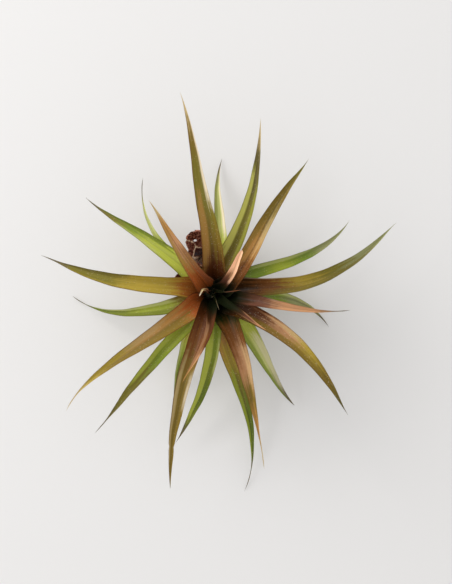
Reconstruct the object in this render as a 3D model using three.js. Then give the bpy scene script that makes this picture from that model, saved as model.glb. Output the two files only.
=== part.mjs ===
// An air plant with a full rosette of narrow, channelled leaves, standing on its own old stem.
// Millimetres, +Z up. The origin is the middle of the stem's flat, worn underside.
// The stem leans over and then turns straight up, so the heart of the rosette lies in front of the origin.

import * as THREE from "three";

// ---- Driving dimensions ----

const HEART = new THREE.Vector3(3, -15.5, 50); // the middle of the rosette, where the leaves meet
const EYE_HEIGHT = 845; // the plant was measured from straight above the heart, from this height
const SEAT_GAP = 0.3; // clearance between a piece and what it is seated on

const FOOT_RADIUS = 7; // the flat, worn end of the stem
const NECK_RADIUS = 5.2; // the leaning stretch above it
const LEAN = { low: 12, high: 14 }; // heights that shape its bend, above the foot and below the crown
const CROWN_FOOT = 29; // height at which the leafy stretch of the stem begins
const CROWN_FOOT_RADIUS = 6.6;
const CROWN_TOP = 51.5; // height at which it ends, inside the heart
const CROWN_TOP_RADIUS = 2.2;
const CROWN_DOME = 1.2; // rise of the growing tip above that
const CROWN_MARGIN = 1; // bare height below the lowest leaf and above the innermost

const LEAF_THICKNESS = { lowest: 1.0, innermost: 0.6, tip: 0.5 }; // at the midrib
const THREAD_WIDTH = 0.8; // the dry thread that a leaf ends in
const LEAF_START = { lowest: 60, innermost: 75 }; // degrees: how steeply a leaf leaves the stem
const LEAF_SPRING = { lowest: 15, innermost: 30 }; // how far it keeps that direction before it bends out
const LEAF_SETTLE = 0.45; // how early it takes the slope of its tip, as a share of its reach
// Depth of a leaf's channel as a share of its width, and the share of the length from which it is full.
const CHANNEL = { foot: 0.2, blade: 0.32, reached: 0.3 };
const LEAF_STOUTEST = 0.55; // most thickness, as a share of the width
const WRAP = 1.25; // widest leaf foot, as a multiple of its distance from the stem's axis

// Leaves from the lowest on the stem to the innermost, as measured from above. Each row holds:
// reach, from the heart to the tip as seen from above; width, of the blade at its foot;
// fullness, how long it stays broad; thread, the share of the leaf that is a dry thread;
// tip, the height of the tip; fall, the slope there in degrees; and the leaf's bearings, in degrees
// counter-clockwise from +X, at the foot, one third, two thirds and the end of its reach.
const LEAVES = [
  [68, 7, 0, 0.12, 6, -10, [135, 137, 133, 121]],
  [61, 9, 0.8, 0.06, 0.5, -16, [-14, -4, -5, -16.5]],
  [71, 10, 0.3, 0.12, 0.5, -14, [-158, -163, -168, -179]],
  [101, 9, 0.7, 0.12, 0.5, -12, [-80, -75, -74, -81]],
  [68, 9.5, 0.5, 0.05, 0.5, -18, [65, 79, 86.5, 86]],
  [70, 10.5, 0.4, 0.05, 8, -22, [-30, -45, -53, -54]],
  [62, 7, 0.6, 0.08, 0.5, -18, [-132, -121, -114, -109]],
  [78, 6.5, 1.6, 0.05, 26, -16, [36, 25, 22, 28]],
  [78, 7, 1.6, 0.04, 12, -22, [-80, -89, -97, -104]],
  [80, 12.5, 0.1, 0.06, 24, -20, [135, 138, 142, 143]],
  [91, 12.5, 0.1, 0.05, 34.5, -14, [72, 66.5, 69.5, 74.5]],
  [92, 7.2, 1.5, 0.09, 30, -18, [-122, -130, -130.5, -130]],
  [88, 8.4, 1.6, 0.08, 52, -10, [160, 172, 171.5, 167.5]],
  [99, 8.5, 1.4, 0.04, 50, -10, [19, 6, 11, 21]],
  [92, 12.6, 0.2, 0.17, 50, -12, [-52, -64, -70, -73.5]],
  [94, 13, 0.1, 0.09, 54, -10, [-145, -144, -145, -141]],
  [102, 13.5, 0, 0.04, 64, -5, [79, 93, 97, 99]],
  [92, 8.6, 1.6, 0.05, 60, -8, [-34, -28, -34, -42]],
  [100, 7, 2.1, 0.1, 58, -8, [-108, -108, -106, -102]],
  [70, 8, 0.3, 0.12, 78, 4, [-9, -10, -10, -7]],
  [56, 10, 0.1, 0.05, 82, 12, [132, 128, 125, 124]],
  [47, 6, 0, 0.06, 84, 18, [-88, -93, -102, -108]],
  [83, 8.5, 1.2, 0.05, 80, 4, [20, 47, 54, 54]],
  [33, 5.5, 0, 0.05, 86, 34, [-40, -34, -34, -34]],
  [25, 6, 0, 0.03, 84, 42, [44, 43, 48, 55]],
].map(([reach, width, fullness, thread, tip, fall, bearings]) => (
  { reach, width, fullness, thread, tip, fall, bearings }
));
const GREEN_LEAVES = 12; // the lowest leaves are green, and those above them rusty

// The young leaves in the heart: points on each middle line, from the foot, measured from the heart's axis
// with true heights. The first one's tip hooks back down.
const HEART_LEAVES = [
  { line: [[-0.6, 0.2, 53], [-1.6, 0.6, 60], [-4.2, 1.8, 66], [-6.2, -1.6, 63.5]], width: 2.6 },
  { line: [[1.2, 0.9, 53], [3.2, 0.9, 62], [8, 0.6, 71], [14.3, 1.5, 76]], width: 2.6 },
  { line: [[0.2, -1.3, 53], [0.8, -1.6, 60], [2.0, -4.0, 67], [3.6, -8.2, 71]], width: 2.4 },
];
const HEART_LEAF_THICKNESS = 0.6;
const HEART_LEAF_TIP_WIDTH = 0.3;

// The stubs of dead leaves that clothe the leaning stretch, in one spiral from the foot upwards.
const OLD_LEAVES = 16;
const OLD_LEAF_FIRST = 110; // degrees: bearing of the lowest one
const OLD_LEAF_TURN = -137.5; // degrees from each to the next
const OLD_LEAF_SPAN = { first: 0.09, last: 0.82 }; // where they sit, as shares of the leaning stretch
const OLD_LEAF_LENGTH = { first: 17, last: 8 };
const OLD_LEAF_WIDTH = { first: 11.5, last: 8.5 };
const OLD_LEAF_THICKNESS = 1.8;
const OLD_LEAF_CHANNEL = 0.2; // depth of its spoon, as a share of its width
// Shares of the length, and the width and thickness there as shares of the full ones.
const OLD_LEAF_OUTLINE = [
  [0, 0.6, 0.8], [0.2, 0.72, 1], [0.45, 0.92, 1], [0.7, 1, 0.9], [0.88, 0.86, 0.7], [1, 0.52, 0.4],
];
const OLD_LEAF_BREAK = 0.6; // how far the broken end stands out
const OLD_LEAF_RISE = { foot: 50, end: 12 }; // degrees: slope against the stem's side at either end

// Wiry roots from the foot, lying on the surface under the heart: points on each middle line.
const ROOT_RADIUS = 0.5;
const ROOTS = [
  [[-5.9, -4.8, 1.4], [-9, -7.6, 0.6], [-12, -12.5, 0.55], [-10.4, -18.6, 0.55]],
  [[-2.2, -7.3, 1.4], [-3.6, -11.5, 0.6], [-1.2, -17, 0.55], [-4.8, -22, 0.55], [-3, -26, 0.55]],
  [[3.4, -6.8, 1.4], [5.4, -10.4, 0.6], [4.6, -16.5, 0.55], [8, -21.5, 0.55]],
  [[7.1, -2.6, 1.4], [11, -5, 0.6], [12.6, -10.5, 0.55], [17, -14, 0.55]],
];

// ---- Shared geometry ----

const radians = THREE.MathUtils.degToRad;
const lerp = THREE.MathUtils.lerp;

// A closed skin over rings of points, ending flat at the first ring and in a point or flat at the last.
function loft(rings, tip) {
  const around = rings[0].length;
  const points = rings.flat();
  const middle = rings[0].reduce((sum, p) => sum.add(p), new THREE.Vector3()).divideScalar(around);
  const foot = points.push(middle) - 1;
  const end = points.push(tip) - 1;
  const faces = [];
  for (let j = 0; j < around; j++) {
    const next = (j + 1) % around;
    for (let i = 0; i + 1 < rings.length; i++) {
      const low = i * around;
      const high = low + around;
      faces.push(low + j, low + next, high + next, low + j, high + next, high + j);
    }
    const last = (rings.length - 1) * around;
    faces.push(foot, next, j, end, last + j, last + next);
  }
  const geometry = new THREE.BufferGeometry().setFromPoints(points);
  geometry.setIndex(faces);
  geometry.computeVertexNormals();
  return geometry;
}

// The height of the cubic curve with these four values at 0, 1/3, 2/3 and 1.
function throughFour([a, b, c, d], t) {
  const [p, q, r, s] = [t, t - 1 / 3, t - 2 / 3, t - 1];
  return -4.5 * a * q * r * s + 13.5 * b * p * r * s - 13.5 * c * p * q * s + 4.5 * d * p * q * r;
}

// Points across a leaf from one margin to the other, as shares of the half width.
const ACROSS = [-1, -0.5, 0, 0.5, 1];

// One ring of a channelled blade: over the upper face from margin to margin, and back underneath.
function bladeRing(centre, side, up, width, depth, thickness) {
  const at = (x, drop) => centre.clone()
    .addScaledVector(side, (x * width) / 2)
    .addScaledVector(up, depth * Math.abs(x) ** 1.5 - drop);
  const over = ACROSS.map((x) => at(x, 0));
  const under = ACROSS.slice(1, -1).reverse().map((x) => at(x, thickness * (1 - x * x)));
  return [...over, ...under];
}

// ---- Stem ----

const lean = new THREE.CubicBezierCurve3(
  new THREE.Vector3(0, 0, 0),
  new THREE.Vector3(0, 0, LEAN.low),
  new THREE.Vector3(HEART.x, HEART.y, LEAN.high),
  new THREE.Vector3(HEART.x, HEART.y, CROWN_FOOT),
);

function leanRadius(share) {
  const straight = lerp(FOOT_RADIUS, CROWN_FOOT_RADIUS, share);
  const waist = (FOOT_RADIUS + CROWN_FOOT_RADIUS) / 2 - NECK_RADIUS;
  return straight - waist * Math.sin(Math.PI * share);
}

function crownRadius(height) {
  return lerp(CROWN_FOOT_RADIUS, CROWN_TOP_RADIUS, (height - CROWN_FOOT) / (CROWN_TOP - CROWN_FOOT));
}

// The middle of the leaning stretch at a share of its length, and the directions along and across it.
function leanFrame(share) {
  const along = lean.getTangent(share);
  const north = along.clone().cross(new THREE.Vector3(1, 0, 0)).normalize();
  const east = north.clone().cross(along);
  return { centre: lean.getPoint(share), along, east, north };
}

function stemRing({ centre, east, north }, radius) {
  const around = 16;
  return Array.from({ length: around }, (_, j) => {
    const turn = (2 * Math.PI * j) / around;
    return centre.clone()
      .addScaledVector(east, radius * Math.cos(turn))
      .addScaledVector(north, radius * Math.sin(turn));
  });
}

function stemGeometry() {
  const steps = 10;
  const rings = [];
  for (let i = 0; i <= steps; i++) rings.push(stemRing(leanFrame(i / steps), leanRadius(i / steps)));
  const upright = leanFrame(1);
  for (let i = 1; i <= 4; i++) {
    const centre = new THREE.Vector3(HEART.x, HEART.y, lerp(CROWN_FOOT, CROWN_TOP, i / 4));
    rings.push(stemRing({ ...upright, centre }, crownRadius(centre.z)));
  }
  return loft(rings, new THREE.Vector3(HEART.x, HEART.y, CROWN_TOP + CROWN_DOME));
}

// ---- Leaves ----

// A leaf's middle line and width, each as a function of a share of its length.
function leafShape(leaf, rank) {
  const start = radians(lerp(LEAF_START.lowest, LEAF_START.innermost, rank));
  const spring = lerp(LEAF_SPRING.lowest, LEAF_SPRING.innermost, rank);
  const height = lerp(CROWN_FOOT + CROWN_MARGIN, CROWN_TOP - CROWN_MARGIN, rank);
  const foot = crownRadius(height) + 2 * SEAT_GAP;
  const fall = radians(leaf.fall);
  const approach = LEAF_SETTLE * leaf.reach;
  const profile = new THREE.CubicBezierCurve(
    new THREE.Vector2(foot, height),
    new THREE.Vector2(foot + spring * Math.cos(start), height + spring * Math.sin(start)),
    new THREE.Vector2(leaf.reach - approach * Math.cos(fall), leaf.tip - approach * Math.sin(fall)),
    new THREE.Vector2(leaf.reach, leaf.tip),
  );
  const point = (share) => {
    const { x: seen, y: z } = profile.getPoint(share);
    const bearing = radians(throughFour(leaf.bearings, seen / leaf.reach));
    const out = foot + ((seen - foot) * (EYE_HEIGHT - z)) / (EYE_HEIGHT - HEART.z);
    return new THREE.Vector3(HEART.x + out * Math.cos(bearing), HEART.y + out * Math.sin(bearing), z);
  };
  const width = (share) => {
    const seen = profile.getPoint(share).x;
    const blade = Math.min(seen / leaf.reach / (1 - leaf.thread), 1);
    const full = leaf.width * (1 - blade) * (1 + leaf.fullness * blade) + THREAD_WIDTH * (1 - 0.5 * share);
    return Math.min(full, WRAP * seen);
  };
  return { point, width };
}

// A channelled blade along a middle line, ending in a point.
function bladeGeometry(stations, point, width, thickness) {
  const step = 0.005;
  const rings = stations.map((share) => {
    const along = point(share + step).sub(point(Math.max(share - step, 0))).normalize();
    const side = new THREE.Vector3(along.y, -along.x, 0).normalize();
    const up = side.clone().cross(along);
    const across = width(share);
    const depth = across * lerp(CHANNEL.foot, CHANNEL.blade, Math.min(share / CHANNEL.reached, 1));
    const thick = Math.min(thickness(share), LEAF_STOUTEST * across);
    return bladeRing(point(share), side, up, across, depth, thick);
  });
  return loft(rings, point(1));
}

function leafGeometry(leaf, rank) {
  const stations = [0, 0.05, 0.1, 0.16, 0.23, 0.32, 0.43, 0.54, 0.65, 0.75, 0.84, 0.92, 0.97];
  const { point, width } = leafShape(leaf, rank);
  const foot = lerp(LEAF_THICKNESS.lowest, LEAF_THICKNESS.innermost, rank);
  return bladeGeometry(stations, point, width, (share) => lerp(foot, LEAF_THICKNESS.tip, share));
}

function heartLeafGeometry(leaf) {
  const stations = [0, 0.15, 0.3, 0.45, 0.58, 0.7, 0.8, 0.88, 0.95];
  const line = new THREE.CatmullRomCurve3(
    leaf.line.map(([x, y, z]) => new THREE.Vector3(HEART.x + x, HEART.y + y, z)),
  );
  const width = (share) => leaf.width * (1 - share) ** 0.8 + HEART_LEAF_TIP_WIDTH;
  return bladeGeometry(stations, (share) => line.getPoint(share), width, () => HEART_LEAF_THICKNESS);
}

// ---- Old leaf stubs ----

// A thick, spooned scale with a blunt, broken end, springing from the stem's side and flaring away from it.
function oldLeafGeometry(index) {
  const rank = index / (OLD_LEAVES - 1);
  const share = lerp(OLD_LEAF_SPAN.first, OLD_LEAF_SPAN.last, rank);
  const turn = radians(OLD_LEAF_FIRST + index * OLD_LEAF_TURN);
  const { centre, along, east, north } = leanFrame(share);
  const out = east.clone().multiplyScalar(Math.cos(turn)).addScaledVector(north, Math.sin(turn));
  const side = out.clone().cross(along);
  const length = lerp(OLD_LEAF_LENGTH.first, OLD_LEAF_LENGTH.last, rank);
  const widest = lerp(OLD_LEAF_WIDTH.first, OLD_LEAF_WIDTH.last, rank);
  const rise = (slope) => out.clone().multiplyScalar(Math.cos(radians(slope)))
    .addScaledVector(along, Math.sin(radians(slope)));
  const foot = centre.addScaledVector(out, leanRadius(share) + 2 * SEAT_GAP);
  const bend = foot.clone().addScaledVector(rise(OLD_LEAF_RISE.foot), length / 2);
  const end = bend.clone().addScaledVector(rise(OLD_LEAF_RISE.end), length / 2);
  const line = new THREE.QuadraticBezierCurve3(foot, bend, end);
  const rings = OLD_LEAF_OUTLINE.map(([at, broad, thick]) => {
    const up = side.clone().cross(line.getTangent(at));
    const width = widest * broad;
    const thickness = OLD_LEAF_THICKNESS * thick;
    return bladeRing(line.getPoint(at), side, up, width, OLD_LEAF_CHANNEL * width, thickness);
  });
  return loft(rings, end.clone().addScaledVector(line.getTangent(1), OLD_LEAF_BREAK));
}

// ---- Roots ----

function rootGeometry(points) {
  const line = new THREE.CatmullRomCurve3(points.map(([x, y, z]) => new THREE.Vector3(x, y, z)));
  const section = new THREE.Shape().absarc(0, 0, ROOT_RADIUS, 0, 2 * Math.PI);
  return new THREE.ExtrudeGeometry(section, { extrudePath: line, steps: 14, curveSegments: 6 });
}

// ---- The plant ----

const leafGreen = new THREE.MeshStandardMaterial({ color: 0x7f9a3a, roughness: 0.5, metalness: 0 });
const leafRusty = new THREE.MeshStandardMaterial({ color: 0x9a6a38, roughness: 0.5, metalness: 0 });
const leafYoung = new THREE.MeshStandardMaterial({ color: 0xc8a890, roughness: 0.5, metalness: 0 });
const oldBrown = new THREE.MeshStandardMaterial({ color: 0x5a3426, roughness: 0.9, metalness: 0 });

const plant = new THREE.Group();
const numbered = (name, index) => `${name}_${String(index + 1).padStart(2, "0")}`;

function add(name, geometry, material) {
  const mesh = new THREE.Mesh(geometry, material);
  mesh.name = name;
  plant.add(mesh);
}

add("stem", stemGeometry(), oldBrown);
ROOTS.forEach((points, i) => add(numbered("root", i), rootGeometry(points), oldBrown));
for (let i = 0; i < OLD_LEAVES; i++) add(numbered("old_leaf", i), oldLeafGeometry(i), oldBrown);
LEAVES.forEach((leaf, i) => {
  const material = i < GREEN_LEAVES ? leafGreen : leafRusty;
  add(numbered("leaf", i), leafGeometry(leaf, i / (LEAVES.length - 1)), material);
});
HEART_LEAVES.forEach((leaf, i) => add(numbered("heart_leaf", i), heartLeafGeometry(leaf), leafYoung));

export default plant;
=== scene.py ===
# %% [markdown]
# # An air plant, leaf by leaf
#
# An air plant is a rosette: a short stem that is hidden by narrow leaves, each one a channel that tapers to a
# dry thread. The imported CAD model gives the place, length, width and curve of every leaf as a coarse shell.
# Here each shell becomes a smooth, thin blade with its own skin.

import math

import bmesh
import bpy
import numpy as np
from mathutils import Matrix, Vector, noise


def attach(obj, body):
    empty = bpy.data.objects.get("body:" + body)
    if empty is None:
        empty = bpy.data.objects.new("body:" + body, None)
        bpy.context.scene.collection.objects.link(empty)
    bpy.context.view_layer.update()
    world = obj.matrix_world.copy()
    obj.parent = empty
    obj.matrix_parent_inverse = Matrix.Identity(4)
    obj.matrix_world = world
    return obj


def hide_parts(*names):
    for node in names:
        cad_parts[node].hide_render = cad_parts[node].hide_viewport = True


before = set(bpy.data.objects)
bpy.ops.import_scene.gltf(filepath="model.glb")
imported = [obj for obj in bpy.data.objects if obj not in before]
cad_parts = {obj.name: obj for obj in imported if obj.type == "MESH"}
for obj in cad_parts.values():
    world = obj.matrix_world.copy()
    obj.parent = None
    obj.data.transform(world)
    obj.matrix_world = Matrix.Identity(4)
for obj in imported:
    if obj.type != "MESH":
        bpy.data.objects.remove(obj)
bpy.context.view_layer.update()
MM = 0.001

# %% [markdown]
# The camera stands straight above the plant, as far away as a person who looks down on a table holds a
# camera. A long lens at that distance keeps the leaves near the floor and the ones near the lens in scale.

# %% The camera
EYE = (10 * MM, -15 * MM, 845 * MM)
LENS_MM = 98

bpy.ops.object.camera_add(location=EYE, rotation=(0, 0, 0))
camera = bpy.context.object
camera.name = "camera"
camera.data.lens = LENS_MM
camera.data.clip_start = 10 * MM
bpy.context.scene.camera = camera
print("camera", round(camera.location.z / MM), "mm above the table, lens", LENS_MM, "mm")

# %% [markdown]
# ## Reading a leaf back from its shell
#
# A node's mesh arrives as loose triangles. Joined up, each leaf's shell is a row of rings with eight points,
# and a single point at either end. Walking from the tip, one step at a time, visits the rings in order.

# %% Rings of a shell
SAME_POINT = 0.001 * MM
LEAF_RING, STEM_RING = 8, 16  # points in a ring
HEIGHT_COUNTS = 0.01  # against distance from the stem. It decides only for the stem's own two ends


def joined(node):
    """A node's mesh with its triangles joined, as points and each point's neighbours."""
    shell = bmesh.new()
    shell.from_mesh(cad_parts[node].data)
    bmesh.ops.remove_doubles(shell, verts=shell.verts, dist=SAME_POINT)
    shell.verts.ensure_lookup_table()
    points = np.array([v.co for v in shell.verts])
    near = [[e.other_vert(v).index for e in v.link_edges] for v in shell.verts]
    shell.free()
    return points, near


stem_points, stem_near = joined("stem")


def rings_of(points, near, around=LEAF_RING):
    """The tip, and the rings from the foot outwards. The tip is the end that is further from the stem."""
    ends = [i for i, n in enumerate(near) if len(n) == around]
    off_stem = [np.linalg.norm(stem_points - points[i], axis=1).min() for i in ends]
    far = [off + HEIGHT_COUNTS * points[i][2] for i, off in zip(ends, off_stem)]
    tip = ends[int(np.argmax(far))]
    seen, ring, rings = {tip}, [tip], []
    while True:
        ring = sorted({j for i in ring for j in near[i]} - seen)
        if len(ring) < around:
            return points[tip], rings[::-1]
        seen.update(ring)
        rings.append(points[ring])


print("rings in leaf_17:", len(rings_of(*joined("leaf_17"))[1]))

# %% [markdown]
# In a ring the two points that are furthest apart are the margins, and of the two halfway between them, the
# one nearer to the line from margin to margin lies in the channel and the other on the back. A tip can be
# thicker than it is wide, so from the second ring on the direction from margin to margin is carried over.
# That way no leaf twists at its tip.


# %% Sections of a leaf
def section_of(ring, ahead, across=None):
    """The middle of the channel, and from there: half the width, the depth and the thickness, as vectors.

    ahead points to the second ring. across points from margin to margin in the ring before this one.
    """
    gaps = ring[None] - ring[:, None]
    sizes = np.linalg.norm(gaps, axis=2) if across is None else gaps @ across
    a, b = np.unravel_index(sizes.argmax(), sizes.shape)
    left, right = ring[a], ring[b]
    chord = right - left
    rest = [p for i, p in enumerate(ring) if i not in (a, b)]
    off_middle = [abs((p - left) @ chord / (chord @ chord) - 0.5) for p in rest]
    pair = [rest[i] for i in np.argsort(off_middle)[:2]]
    drop = [np.linalg.norm(np.cross(p - left, chord)) for p in pair]
    channel, back = pair[int(np.argmin(drop))], pair[int(np.argmax(drop))]
    up = channel - back
    if across is None and np.cross(ahead, up) @ chord < 0:
        left, right = right, left
    return np.concatenate([channel, (right - left) / 2, (left + right) / 2 - channel, up])


def sections_of(node):
    """Sections from foot to tip, the share of the length at each, and the length."""
    tip, rings = rings_of(*joined(node))
    ahead = rings[1].mean(axis=0) - rings[0].mean(axis=0)
    sections = []
    for ring in rings:
        across = sections[-1][3:6] if sections else None
        sections.append(section_of(ring, ahead, across))
    sections.append(np.concatenate([tip, np.zeros(9)]))
    sections = np.array(sections)
    steps = np.linalg.norm(np.diff(sections[:, :3], axis=0), axis=1)
    length = steps.sum()
    return sections, np.concatenate([[0], np.cumsum(steps)]) / length, length


sections, shares, length = sections_of("leaf_17")
print("leaf_17:", len(sections), "sections,", round(length / MM, 1), "mm long")

# %% [markdown]
# ## A smooth blade
#
# A leaf could be modelled by extruding a strip and scaling it station by station. Twenty-five leaves that
# each have their own curve are quicker to make the same way every time: a flat grid is laid round the leaf's
# cross-section and along its length. Between two sections it follows a smooth curve, so no ring shows.


# %% A curve through the sections
def smooth(rows, shares, at):
    """The rows at other shares of the length, on a smooth curve through all of them."""
    slopes = np.gradient(rows, shares, axis=0)
    i = np.clip(np.searchsorted(shares, at, side="right") - 1, 0, len(shares) - 2)
    span = shares[i + 1] - shares[i]
    t = ((at - shares[i]) / span)[:, None]
    span = span[:, None]
    return (
        (2 * t**3 - 3 * t**2 + 1) * rows[i]
        + (t**3 - 2 * t**2 + t) * span * slopes[i]
        + (3 * t**2 - 2 * t**3) * rows[i + 1]
        + (t**3 - t**2) * span * slopes[i + 1]
    )


halfway = smooth(sections, shares, np.array([0.5]))[0]
print("leaf_17 halfway, in mm:", (halfway[:3] / MM).round(1))

# %% [markdown]
# Nothing that grew is even. One smooth wave with a number for its seed gives every leaf its own ripples, and
# it gives the same ones each time the script runs. It is a sum of three sines whose turns don't fit together.

# %% An uneven wave
SEED_PHASE = 2.4  # how far the sines move on from one seed to the next
# of each sine: its height, and what the turns and the phase are multiplied by
WAVE_PARTS = ((0.6, 1.0, 1.0), (0.3, 1.7, 2.1), (0.2, 3.3, 3.7))


def wave(values, seed, count):
    """A smooth, uneven wave along values, between about -1 and 1."""
    turns = 2 * math.pi * values
    phase = SEED_PHASE * seed
    return sum(height * np.sin(more * count * turns + later * phase) for height, more, later in WAVE_PARTS)


print("a wave:", wave(np.linspace(0, 1, 6), 1, 1).round(2))

# %% [markdown]
# The flat grid comes from Blender's own Add menu, with a map that goes from 0 to 1 both ways. The map stays
# on the points when they move, so the paint will know later where each of them lies on the leaf.

# %% A grid to wrap round a leaf
SEAM = 0.002 * MM  # points closer than this become one
THIN_FACE = 0.0001 * MM
NO_LENGTH = 1e-9


def new_grid(name, around, along):
    """A flat grid from 0 to 1 both ways, whose own map holds the same numbers."""
    bpy.ops.object.select_all(action="DESELECT")
    bpy.ops.mesh.primitive_grid_add(x_subdivisions=around, y_subdivisions=along, size=1, location=(0, 0, 0))
    grid = bpy.context.object
    grid.name = name
    grid.data.name = name
    grid.data.uv_layers[0].name = "blade"
    flat = np.empty(len(grid.data.vertices) * 3)
    grid.data.vertices.foreach_get("co", flat)
    flat = flat.reshape(-1, 3)
    return grid, flat[:, 0] + 0.5, flat[:, 1] + 0.5


def close_up(grid, places):
    """Moves the grid's points to their places, joins its edges and ends, and turns all faces outwards."""
    grid.data.vertices.foreach_set("co", places.ravel())
    grid.data.update()
    bpy.context.view_layer.objects.active = grid
    bpy.ops.object.mode_set(mode="EDIT")
    bpy.ops.mesh.select_all(action="SELECT")
    bpy.ops.mesh.remove_doubles(threshold=SEAM)
    bpy.ops.mesh.dissolve_degenerate(threshold=THIN_FACE)
    bpy.ops.mesh.select_all(action="SELECT")
    bpy.ops.mesh.normals_make_consistent(inside=False)
    bpy.ops.object.mode_set(mode="OBJECT")
    bpy.ops.object.shade_smooth()


def unit(vectors):
    """The vectors, each brought to a length of one."""
    return vectors / np.maximum(np.linalg.norm(vectors, axis=1), NO_LENGTH)[:, None]


def across_of(u):
    """From the grid's width: the side of the leaf, 1 for the right margin, and which points are on the face.

    The first half of the width is the channelled face, from right to left, and the second half is the back.
    """
    face = u <= 0.5
    return np.sin(np.pi / 2 * np.where(face, 1 - 4 * u, 4 * u - 3)), face


print("sides of five points round a leaf:", across_of(np.linspace(0, 1, 5))[0].round(2))

# %% [markdown]
# A living leaf isn't a perfect gutter. Its fold wanders from side to side, its margins ripple and roll in a
# little, its foot broadens to clasp the ones inside it, and a bruise can nip it in.

# %% Laying a grid over a leaf
AROUND, ALONG = 28, 120
BUNCH = 1.15  # above 1, the stations stand closer together near the foot
ROUND_BOTTOM = 0.22  # how round the bottom of the channel is, as a share of the half width
FOLD_WANDER = 0.08  # as a share of the half width
MARGIN_WAVE, RIPPLES = 0.0016, 5  # height as a share of the leaf's length, and how many there are
RIPPLE_SHIFT = 0.31  # keeps the two margins from rippling together
SWING = 0.0022  # to either side, as a share of the leaf's length
MARGIN_ROLL, ROLL_FROM = 0.16, 0.75  # rise of the rolled margin and its start, as shares of the half width
FADE_IN, FADE_OUT = 0.15, 0.25  # shares of the length over which the ripples grow and die away
ROUND_FOOT = 0.006  # share of the length
FOOT_FLARE = {"share": 0.3, "at": 0.11, "spread": 0.09}
LEAST_SHELL_MM = 0.05
MOST_DEEPENING = 3  # a widened leaf's channel gets this much deeper at most


def blade(name, node, seed, fold=0.0, flare=0.0, slim=0.0, widths=None, lean=None):
    """A thin channelled leaf over the shell of a CAD node. fold is how far its channel ends up to the right.

    widths are pairs of share and half width in mm, for a leaf whose width differs from its shell's. lean are
    triples of share and shift to the east and north in mm.
    """
    sections, shares, length = sections_of(node)
    grid, u, v = new_grid(name, AROUND, ALONG)
    v = v**BUNCH
    section = smooth(sections, shares, v)
    middle, half, depth, up = (section[:, i : i + 3] for i in (0, 3, 6, 9))
    side, face = across_of(u)

    # how wide and how deep the leaf is
    width = 1 + flare * np.exp(-(((v - FOOT_FLARE["at"]) / FOOT_FLARE["spread"]) ** 2)) - slim * v
    if widths:
        shell_width = np.maximum(np.linalg.norm(half, axis=1) / MM, LEAST_SHELL_MM)
        given = np.interp(v, *zip(*widths))
        width = np.where(v < widths[0][0], width, given / shell_width)
    half = half * width[:, None]
    depth = depth * np.minimum(width, MOST_DEEPENING)[:, None]

    # the face: a channel with a rounded bottom that wanders
    full = math.sqrt(1 + ROUND_BOTTOM**2) - ROUND_BOTTOM
    bottom = (np.sqrt(side**2 + ROUND_BOTTOM**2) - ROUND_BOTTOM) / full
    shift = (fold * v + FOLD_WANDER * wave(v, seed, 1)) * (1 - side**2)
    place = middle + half * (side + shift)[:, None] + depth * bottom[:, None]
    if lean:
        at, east, north = zip(*lean)
        place[:, 0] += np.interp(v, at, east) * MM
        place[:, 1] += np.interp(v, at, north) * MM

    # margins that ripple and roll in, on a leaf that swings a little
    fade = np.minimum(v / FADE_IN, 1) * np.minimum((1 - v) / FADE_OUT, 1)
    ripple = wave(v + RIPPLE_SHIFT * np.sign(side), seed, RIPPLES)
    roll = MARGIN_ROLL * np.linalg.norm(half, axis=1)
    rise = MARGIN_WAVE * length * fade * side**4 * ripple
    rise += roll * np.clip((np.abs(side) - ROLL_FROM) / (1 - ROLL_FROM), 0, None) ** 2
    swing = SWING * length * fade * wave(v, seed + 0.5, 2) - roll / 2 * side**9
    place += unit(up) * rise[:, None] + unit(half) * swing[:, None]

    # the back, which meets the face at the margins
    thickness = np.sqrt(np.clip(1 - side**4, 0, 1)) * np.minimum(v / ROUND_FOOT, 1) ** 0.5
    place -= up * (thickness * ~face)[:, None]
    close_up(grid, place)
    return grid


def belongs(piece, node):
    """Hides the CAD node that the piece stands for, and hangs the piece under the plant so that it moves with
    it.
    """
    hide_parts(node)
    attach(piece, "root")
    return piece


def report(pieces, what):
    """Prints how many pieces and faces were made, and how low they reach."""
    faces = sum(len(piece.data.polygons) for piece in pieces)
    lowest = min(v.co.z for piece in pieces for v in piece.data.vertices)
    print(len(pieces), what, "with", faces, "faces, lowest point", round(lowest / MM, 3), "mm")


print("each leaf's grid is", AROUND, "faces round and", ALONG, "faces long")

# %% [markdown]
# ## The leaves
#
# Twelve older, green leaves lie low, and thirteen younger, rusty ones stand above them. The channel of some
# runs out towards one margin, so one half is a narrow strip near the tip. One long leaf was once bent: it is
# nipped in at four fifths of its length. One of the innermost ends bluntly and leans over to the east.

# %% Twenty-five leaves
LEAF_COUNT, GREEN_LEAVES = 25, 12
FOLDS = {3: 0.2, 5: 0.2, 6: -0.2, 9: -0.25, 11: 0.3, 12: -0.2, 13: 0.3, 14: 0.1, 15: -0.1, 17: 0.4,
         18: -0.15, 19: -0.2, 23: 0.1}
SLIM_FEET = (16, 17, 19, 22)
WIDTHS = {
    6: ((0.1, 4.6), (0.3, 4.7), (0.5, 3.7), (0.7, 2.2), (0.85, 1.2), (0.95, 0.5), (1, 0.05)),
    19: ((0.72, 2.1), (0.775, 1.65), (0.792, 1.2), (0.81, 1.4),
         (0.86, 1.15), (0.91, 0.75), (0.965, 0.33), (1, 0.05)),
    25: ((0.4, 2.2), (0.6, 2.3), (0.75, 2.1), (0.87, 1.6), (0.94, 1.35), (0.98, 1.0), (1, 0.1)),
}
LEANS = {
    19: ((0, 0, 0), (0.79, 0, 0), (0.84, 0.3, 0), (0.92, 0.15, 0), (1, 0, 0)),
    25: ((0, 0, 0), (0.35, 1.4, 0.2), (0.6, 0.7, 0.2), (0.8, -0.1, 0), (0.9, 0, 0.3), (1, 0.9, 1.0)),
}
leaves = []
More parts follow.
